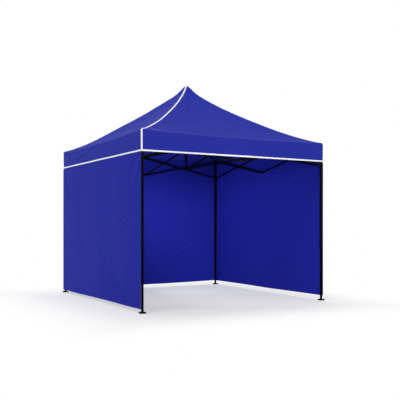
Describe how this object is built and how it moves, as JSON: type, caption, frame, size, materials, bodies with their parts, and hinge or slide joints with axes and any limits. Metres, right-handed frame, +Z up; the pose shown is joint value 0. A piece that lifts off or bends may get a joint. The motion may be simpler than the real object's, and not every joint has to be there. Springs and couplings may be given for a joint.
{
  "type": "pop up canopy",
  "caption": "Square pop up canopy with a peaked roof, a folding scissor frame on telescopic legs, and cloth walls on three sides.",
  "frame": {"origin": "on the ground, under the peak, in the middle of the four legs", "axes": "+Z up; -Y towards the open front; +X to the right for someone who looks in from the front"},
  "size_m": [3.0154, 3.0133, 3.3077],
  "materials": {
    "canopy_cloth": "matte",
    "black_steel": "satin",
    "black_nylon": "matte",
    "white_binding": "matte",
    "bright_zinc": "satin"
  },
  "bodies": {
    "upper_hub": {"upper_hub": "black_nylon"},
    "front_bar_from_upper_hub": {"front_bar_from_upper_hub": "black_steel"},
    "front_bar_from_lower_hub": {"front_bar_from_lower_hub": "black_steel"},
    "front_lower_knuckle": {"front_lower_knuckle": "black_nylon"},
    "front_upper_knuckle": {"front_upper_knuckle": "black_nylon"},
    "mast_assembly": {"lower_hub": "black_nylon", "mast": "black_steel", "roof_cover": "canopy_cloth"},
    "mast_tip": {"mast_tip": "black_nylon"},
    "front_bar_to_front_left_top": {"front_bar_to_front_left_top": "black_steel"},
    "front_bar_to_front_left_slider": {"front_bar_to_front_left_slider": "black_steel"},
    "front_bar_to_front_right_top": {"front_bar_to_front_right_top": "black_steel"},
    "front_bar_to_front_right_slider": {"front_bar_to_front_right_slider": "black_steel"},
    "right_bar_from_upper_hub": {"right_bar_from_upper_hub": "black_steel"},
    "right_bar_from_lower_hub": {"right_bar_from_lower_hub": "black_steel"},
    "right_lower_knuckle": {"right_lower_knuckle": "black_nylon"},
    "right_upper_knuckle": {"right_upper_knuckle": "black_nylon", "right_wall": "canopy_cloth"},
    "right_bar_to_front_right_top": {"right_bar_to_front_right_top": "black_steel"},
    "right_bar_to_front_right_slider": {"right_bar_to_front_right_slider": "black_steel"},
    "right_bar_to_back_right_top": {"right_bar_to_back_right_top": "black_steel"},
    "right_bar_to_back_right_slider": {"right_bar_to_back_right_slider": "black_steel"},
    "back_bar_from_upper_hub": {"back_bar_from_upper_hub": "black_steel"},
    "back_bar_from_lower_hub": {"back_bar_from_lower_hub": "black_steel"},
    "back_lower_knuckle": {"back_lower_knuckle": "black_nylon"},
    "back_upper_knuckle": {"back_upper_knuckle": "black_nylon", "back_wall": "canopy_cloth"},
    "back_bar_to_back_right_top": {"back_bar_to_back_right_top": "black_steel"},
    "back_bar_to_back_right_slider": {"back_bar_to_back_right_slider": "black_steel"},
    "back_bar_to_back_left_top": {"back_bar_to_back_left_top": "black_steel"},
    "back_bar_to_back_left_slider": {"back_bar_to_back_left_slider": "black_steel"},
    "left_bar_from_upper_hub": {"left_bar_from_upper_hub": "black_steel"},
    "left_bar_from_lower_hub": {"left_bar_from_lower_hub": "black_steel"},
    "left_lower_knuckle": {"left_lower_knuckle": "black_nylon"},
    "left_upper_knuckle": {"left_upper_knuckle": "black_nylon", "left_wall": "canopy_cloth"},
    "left_bar_to_back_left_top": {"left_bar_to_back_left_top": "black_steel"},
    "left_bar_to_back_left_slider": {"left_bar_to_back_left_slider": "black_steel"},
    "left_bar_to_front_left_top": {"left_bar_to_front_left_top": "black_steel"},
    "left_bar_to_front_left_slider": {"left_bar_to_front_left_slider": "black_steel"},
    "front_left_outer_leg": {"front_left_outer_leg": "black_steel"},
    "front_left_inner_leg": {"front_left_inner_leg": "black_steel"},
    "front_left_slider": {"front_left_slider": "black_nylon"},
    "front_left_slider_button": {"front_left_slider_button": "black_nylon"},
    "front_left_height_button": {"front_left_height_button": "black_nylon"},
    "front_right_outer_leg": {"front_right_outer_leg": "black_steel"},
    "front_right_inner_leg": {"front_right_inner_leg": "black_steel"},
    "front_right_slider": {"front_right_slider": "black_nylon"},
    "front_right_slider_button": {"front_right_slider_button": "black_nylon"},
    "front_right_height_button": {"front_right_height_button": "black_nylon"},
    "back_right_outer_leg": {"back_right_outer_leg": "black_steel"},
    "back_right_inner_leg": {"back_right_inner_leg": "black_steel"},
    "back_right_slider": {"back_right_slider": "black_nylon"},
    "back_right_slider_button": {"back_right_slider_button": "black_nylon"},
    "back_right_height_button": {"back_right_height_button": "black_nylon"},
    "back_left_outer_leg": {"back_left_outer_leg": "black_steel"},
    "back_left_inner_leg": {"back_left_inner_leg": "black_steel"},
    "back_left_slider": {"back_left_slider": "black_nylon"},
    "back_left_slider_button": {"back_left_slider_button": "black_nylon"},
    "back_left_height_button": {"back_left_height_button": "black_nylon"}
  },
  "joints": [
    {"name": "fold", "type": "hinge", "parent": "upper_hub", "child": "front_bar_from_upper_hub", "pos_m": [0, -0.0454, 2.29], "axis": [1, 0, 0], "range_deg": [0, 75.75], "deforming": ["roof_cover", "right_wall", "back_wall", "left_wall"]},
    {"name": "front_centre_crossing", "type": "hinge", "parent": "front_bar_from_upper_hub", "child": "front_bar_from_lower_hub", "pos_m": [0, -0.7467, 2.145], "axis": [1, 0, 0], "range_deg": [-151.5, 0]},
    {"name": "front_lower_knuckle_hinge", "type": "hinge", "parent": "front_bar_from_upper_hub", "child": "front_lower_knuckle", "pos_m": [0, -1.448, 2], "axis": [1, 0, 0], "range_deg": [-75.75, 0]},
    {"name": "front_upper_knuckle_hinge", "type": "hinge", "parent": "front_bar_from_lower_hub", "child": "front_upper_knuckle", "pos_m": [0, -1.448, 2.29], "axis": [1, 0, 0], "range_deg": [0, 75.75]},
    {"name": "lower_hub_hinge", "type": "hinge", "parent": "front_bar_from_lower_hub", "child": "mast_assembly", "pos_m": [0, -0.0454, 2], "axis": [1, 0, 0], "range_deg": [0, 75.75]},
    {"name": "front_front_left_rising_hinge", "type": "hinge", "parent": "front_lower_knuckle", "child": "front_bar_to_front_left_top", "pos_m": [-0.032, -1.47, 2], "axis": [0, 1, 0], "range_deg": [0, 75.75]},
    {"name": "front_front_left_falling_hinge", "type": "hinge", "parent": "front_upper_knuckle", "child": "front_bar_to_front_left_slider", "pos_m": [-0.032, -1.47, 2.29], "axis": [0, 1, 0], "range_deg": [-75.75, 0]},
    {"name": "front_front_right_rising_hinge", "type": "hinge", "parent": "front_lower_knuckle", "child": "front_bar_to_front_right_top", "pos_m": [0.032, -1.47, 2], "axis": [0, 1, 0], "range_deg": [-75.75, 0]},
    {"name": "front_front_right_falling_hinge", "type": "hinge", "parent": "front_upper_knuckle", "child": "front_bar_to_front_right_slider", "pos_m": [0.032, -1.47, 2.29], "axis": [0, 1, 0], "range_deg": [0, 75.75]},
    {"name": "right_hub_hinge", "type": "hinge", "parent": "upper_hub", "child": "right_bar_from_upper_hub", "pos_m": [0.0454, 0, 2.29], "axis": [0, 1, 0], "range_deg": [0, 75.75]},
    {"name": "right_centre_crossing", "type": "hinge", "parent": "right_bar_from_upper_hub", "child": "right_bar_from_lower_hub", "pos_m": [0.7467, 0, 2.145], "axis": [0, 1, 0], "range_deg": [-151.5, 0]},
    {"name": "right_lower_knuckle_hinge", "type": "hinge", "parent": "right_bar_from_upper_hub", "child": "right_lower_knuckle", "pos_m": [1.448, 0, 2], "axis": [0, 1, 0], "range_deg": [-75.75, 0]},
    {"name": "right_upper_knuckle_hinge", "type": "hinge", "parent": "right_bar_from_lower_hub", "child": "right_upper_knuckle", "pos_m": [1.448, 0, 2.29], "axis": [0, 1, 0], "range_deg": [0, 75.75]},
    {"name": "right_front_right_rising_hinge", "type": "hinge", "parent": "right_lower_knuckle", "child": "right_bar_to_front_right_top", "pos_m": [1.47, -0.032, 2], "axis": [-1, 0, 0], "range_deg": [0, 75.75]},
    {"name": "right_front_right_falling_hinge", "type": "hinge", "parent": "right_upper_knuckle", "child": "right_bar_to_front_right_slider", "pos_m": [1.47, -0.032, 2.29], "axis": [-1, 0, 0], "range_deg": [-75.75, 0]},
    {"name": "right_back_right_rising_hinge", "type": "hinge", "parent": "right_lower_knuckle", "child": "right_bar_to_back_right_top", "pos_m": [1.47, 0.032, 2], "axis": [-1, 0, 0], "range_deg": [-75.75, 0]},
    {"name": "right_back_right_falling_hinge", "type": "hinge", "parent": "right_upper_knuckle", "child": "right_bar_to_back_right_slider", "pos_m": [1.47, 0.032, 2.29], "axis": [-1, 0, 0], "range_deg": [0, 75.75]},
    {"name": "back_hub_hinge", "type": "hinge", "parent": "upper_hub", "child": "back_bar_from_upper_hub", "pos_m": [0, 0.0454, 2.29], "axis": [-1, 0, 0], "range_deg": [0, 75.75]},
    {"name": "back_centre_crossing", "type": "hinge", "parent": "back_bar_from_upper_hub", "child": "back_bar_from_lower_hub", "pos_m": [0, 0.7467, 2.145], "axis": [-1, 0, 0], "range_deg": [-151.5, 0]},
    {"name": "back_lower_knuckle_hinge", "type": "hinge", "parent": "back_bar_from_upper_hub", "child": "back_lower_knuckle", "pos_m": [0, 1.448, 2], "axis": [-1, 0, 0], "range_deg": [-75.75, 0]},
    {"name": "back_upper_knuckle_hinge", "type": "hinge", "parent": "back_bar_from_lower_hub", "child": "back_upper_knuckle", "pos_m": [0, 1.448, 2.29], "axis": [-1, 0, 0], "range_deg": [0, 75.75]},
    {"name": "back_back_right_rising_hinge", "type": "hinge", "parent": "back_lower_knuckle", "child": "back_bar_to_back_right_top", "pos_m": [0.032, 1.47, 2], "axis": [0, -1, 0], "range_deg": [0, 75.75]},
    {"name": "back_back_right_falling_hinge", "type": "hinge", "parent": "back_upper_knuckle", "child": "back_bar_to_back_right_slider", "pos_m": [0.032, 1.47, 2.29], "axis": [0, -1, 0], "range_deg": [-75.75, 0]},
    {"name": "back_back_left_rising_hinge", "type": "hinge", "parent": "back_lower_knuckle", "child": "back_bar_to_back_left_top", "pos_m": [-0.032, 1.47, 2], "axis": [0, -1, 0], "range_deg": [-75.75, 0]},
    {"name": "back_back_left_falling_hinge", "type": "hinge", "parent": "back_upper_knuckle", "child": "back_bar_to_back_left_slider", "pos_m": [-0.032, 1.47, 2.29], "axis": [0, -1, 0], "range_deg": [0, 75.75]},
    {"name": "left_hub_hinge", "type": "hinge", "parent": "upper_hub", "child": "left_bar_from_upper_hub", "pos_m": [-0.0454, 0, 2.29], "axis": [0, -1, 0], "range_deg": [0, 75.75]},
    {"name": "left_centre_crossing", "type": "hinge", "parent": "left_bar_from_upper_hub", "child": "left_bar_from_lower_hub", "pos_m": [-0.7467, 0, 2.145], "axis": [0, -1, 0], "range_deg": [-151.5, 0]},
    {"name": "left_lower_knuckle_hinge", "type": "hinge", "parent": "left_bar_from_upper_hub", "child": "left_lower_knuckle", "pos_m": [-1.448, 0, 2], "axis": [0, -1, 0], "range_deg": [-75.75, 0]},
    {"name": "left_upper_knuckle_hinge", "type": "hinge", "parent": "left_bar_from_lower_hub", "child": "left_upper_knuckle", "pos_m": [-1.448, 0, 2.29], "axis": [0, -1, 0], "range_deg": [0, 75.75]},
    {"name": "left_back_left_rising_hinge", "type": "hinge", "parent": "left_lower_knuckle", "child": "left_bar_to_back_left_top", "pos_m": [-1.47, 0.032, 2], "axis": [1, 0, 0], "range_deg": [0, 75.75]},
    {"name": "left_back_left_falling_hinge", "type": "hinge", "parent": "left_upper_knuckle", "child": "left_bar_to_back_left_slider", "pos_m": [-1.47, 0.032, 2.29], "axis": [1, 0, 0], "range_deg": [-75.75, 0]},
    {"name": "left_front_left_rising_hinge", "type": "hinge", "parent": "left_lower_knuckle", "child": "left_bar_to_front_left_top", "pos_m": [-1.47, -0.032, 2], "axis": [1, 0, 0], "range_deg": [-75.75, 0]},
    {"name": "left_front_left_falling_hinge", "type": "hinge", "parent": "left_upper_knuckle", "child": "left_bar_to_front_left_slider", "pos_m": [-1.47, -0.032, 2.29], "axis": [1, 0, 0], "range_deg": [0, 75.75]},
    {"name": "front_left_leg_hinge", "type": "hinge", "parent": "front_bar_to_front_left_top", "child": "front_left_outer_leg", "pos_m": [-1.4346, -1.47, 2.29], "axis": [0, 1, 0], "range_deg": [-75.75, 0]},
    {"name": "front_left_slider_hinge", "type": "hinge", "parent": "front_bar_to_front_left_slider", "child": "front_left_slider", "pos_m": [-1.4346, -1.47, 2], "axis": [0, 1, 0], "range_deg": [0, 75.75]},
    {"name": "front_left_leg_slide", "type": "slide", "parent": "front_left_outer_leg", "child": "front_left_inner_leg", "axis": [0, 0, 1], "range_m": [0, 0.77]},
    {"name": "front_left_slider_button_press", "type": "slide", "parent": "front_left_slider", "child": "front_left_slider_button", "axis": [-1, 0, 0], "range_m": [0, 0.003], "stiffness_N_per_m": 1500, "springref_m": -0.001},
    {"name": "front_left_height_button_press", "type": "slide", "parent": "front_left_outer_leg", "child": "front_left_height_button", "axis": [-1, 0, 0], "range_m": [0, 0.003], "stiffness_N_per_m": 1500, "springref_m": -0.001},
    {"name": "front_right_leg_hinge", "type": "hinge", "parent": "right_bar_to_front_right_top", "child": "front_right_outer_leg", "pos_m": [1.47, -1.4346, 2.29], "axis": [-1, 0, 0], "range_deg": [-75.75, 0]},
    {"name": "front_right_slider_hinge", "type": "hinge", "parent": "right_bar_to_front_right_slider", "child": "front_right_slider", "pos_m": [1.47, -1.4346, 2], "axis": [-1, 0, 0], "range_deg": [0, 75.75]},
    {"name": "front_right_leg_slide", "type": "slide", "parent": "front_right_outer_leg", "child": "front_right_inner_leg", "axis": [0, 0, 1], "range_m": [0, 0.77]},
    {"name": "front_right_slider_button_press", "type": "slide", "parent": "front_right_slider", "child": "front_right_slider_button", "axis": [0, -1, 0], "range_m": [0, 0.003], "stiffness_N_per_m": 1500, "springref_m": -0.001},
    {"name": "front_right_height_button_press", "type": "slide", "parent": "front_right_outer_leg", "child": "front_right_height_button", "axis": [0, -1, 0], "range_m": [0, 0.003], "stiffness_N_per_m": 1500, "springref_m": -0.001},
    {"name": "back_right_leg_hinge", "type": "hinge", "parent": "back_bar_to_back_right_top", "child": "back_right_outer_leg", "pos_m": [1.4346, 1.47, 2.29], "axis": [0, -1, 0], "range_deg": [-75.75, 0]},
    {"name": "back_right_slider_hinge", "type": "hinge", "parent": "back_bar_to_back_right_slider", "child": "back_right_slider", "pos_m": [1.4346, 1.47, 2], "axis": [0, -1, 0], "range_deg": [0, 75.75]},
    {"name": "back_right_leg_slide", "type": "slide", "parent": "back_right_outer_leg", "child": "back_right_inner_leg", "axis": [0, 0, 1], "range_m": [0, 0.77]},
    {"name": "back_right_slider_button_press", "type": "slide", "parent": "back_right_slider", "child": "back_right_slider_button", "axis": [1, 0, 0], "range_m": [0, 0.003], "stiffness_N_per_m": 1500, "springref_m": -0.001},
    {"name": "back_right_height_button_press", "type": "slide", "parent": "back_right_outer_leg", "child": "back_right_height_button", "axis": [1, 0, 0], "range_m": [0, 0.003], "stiffness_N_per_m": 1500, "springref_m": -0.001},
    {"name": "back_left_leg_hinge", "type": "hinge", "parent": "left_bar_to_back_left_top", "child": "back_left_outer_leg", "pos_m": [-1.47, 1.4346, 2.29], "axis": [1, 0, 0], "range_deg": [-75.75, 0]},
    {"name": "back_left_slider_hinge", "type": "hinge", "parent": "left_bar_to_back_left_slider", "child": "back_left_slider", "pos_m": [-1.47, 1.4346, 2], "axis": [1, 0, 0], "range_deg": [0, 75.75]},
    {"name": "back_left_leg_slide", "type": "slide", "parent": "back_left_outer_leg", "child": "back_left_inner_leg", "axis": [0, 0, 1], "range_m": [0, 0.77]},
    {"name": "back_left_slider_button_press", "type": "slide", "parent": "back_left_slider", "child": "back_left_slider_button", "axis": [0, 1, 0], "range_m": [0, 0.003], "stiffness_N_per_m": 1500, "springref_m": -0.001},
    {"name": "back_left_height_button_press", "type": "slide", "parent": "back_left_outer_leg", "child": "back_left_height_button", "axis": [0, 1, 0], "range_m": [0, 0.003], "stiffness_N_per_m": 1500, "springref_m": -0.001},
    {"name": "mast_tip_spring", "type": "slide", "parent": "mast_assembly", "child": "mast_tip", "axis": [0, 0, 1], "range_m": [-0.02, 0], "stiffness_N_per_m": 800, "springref_m": 0.01}
  ],
  "couplings": [
    {"joint": "front_centre_crossing", "follows": "fold", "ratio": -2},
    {"joint": "front_lower_knuckle_hinge", "follows": "fold", "ratio": -1},
    {"joint": "front_upper_knuckle_hinge", "follows": "fold", "ratio": 1},
    {"joint": "lower_hub_hinge", "follows": "fold", "ratio": 1},
    {"joint": "front_front_left_rising_hinge", "follows": "fold", "ratio": 1},
    {"joint": "front_front_left_falling_hinge", "follows": "fold", "ratio": -1},
    {"joint": "front_front_right_rising_hinge", "follows": "fold", "ratio": -1},
    {"joint": "front_front_right_falling_hinge", "follows": "fold", "ratio": 1},
    {"joint": "right_hub_hinge", "follows": "fold", "ratio": 1},
    {"joint": "right_centre_crossing", "follows": "fold", "ratio": -2},
    {"joint": "right_lower_knuckle_hinge", "follows": "fold", "ratio": -1},
    {"joint": "right_upper_knuckle_hinge", "follows": "fold", "ratio": 1},
    {"joint": "right_front_right_rising_hinge", "follows": "fold", "ratio": 1},
    {"joint": "right_front_right_falling_hinge", "follows": "fold", "ratio": -1},
    {"joint": "right_back_right_rising_hinge", "follows": "fold", "ratio": -1},
    {"joint": "right_back_right_falling_hinge", "follows": "fold", "ratio": 1},
    {"joint": "back_hub_hinge", "follows": "fold", "ratio": 1},
    {"joint": "back_centre_crossing", "follows": "fold", "ratio": -2},
    {"joint": "back_lower_knuckle_hinge", "follows": "fold", "ratio": -1},
    {"joint": "back_upper_knuckle_hinge", "follows": "fold", "ratio": 1},
    {"joint": "back_back_right_rising_hinge", "follows": "fold", "ratio": 1},
    {"joint": "back_back_right_falling_hinge", "follows": "fold", "ratio": -1},
    {"joint": "back_back_left_rising_hinge", "follows": "fold", "ratio": -1},
    {"joint": "back_back_left_falling_hinge", "follows": "fold", "ratio": 1},
    {"joint": "left_hub_hinge", "follows": "fold", "ratio": 1},
    {"joint": "left_centre_crossing", "follows": "fold", "ratio": -2},
    {"joint": "left_lower_knuckle_hinge", "follows": "fold", "ratio": -1},
    {"joint": "left_upper_knuckle_hinge", "follows": "fold", "ratio": 1},
    {"joint": "left_back_left_rising_hinge", "follows": "fold", "ratio": 1},
    {"joint": "left_back_left_falling_hinge", "follows": "fold", "ratio": -1},
    {"joint": "left_front_left_rising_hinge", "follows": "fold", "ratio": -1},
    {"joint": "left_front_left_falling_hinge", "follows": "fold", "ratio": 1},
    {"joint": "front_left_leg_hinge", "follows": "fold", "ratio": -1},
    {"joint": "front_left_slider_hinge", "follows": "fold", "ratio": 1},
    {"joint": "front_right_leg_hinge", "follows": "fold", "ratio": -1},
    {"joint": "front_right_slider_hinge", "follows": "fold", "ratio": 1},
    {"joint": "back_right_leg_hinge", "follows": "fold", "ratio": -1},
    {"joint": "back_right_slider_hinge", "follows": "fold", "ratio": 1},
    {"joint": "back_left_leg_hinge", "follows": "fold", "ratio": -1},
    {"joint": "back_left_slider_hinge", "follows": "fold", "ratio": 1}
  ]
}
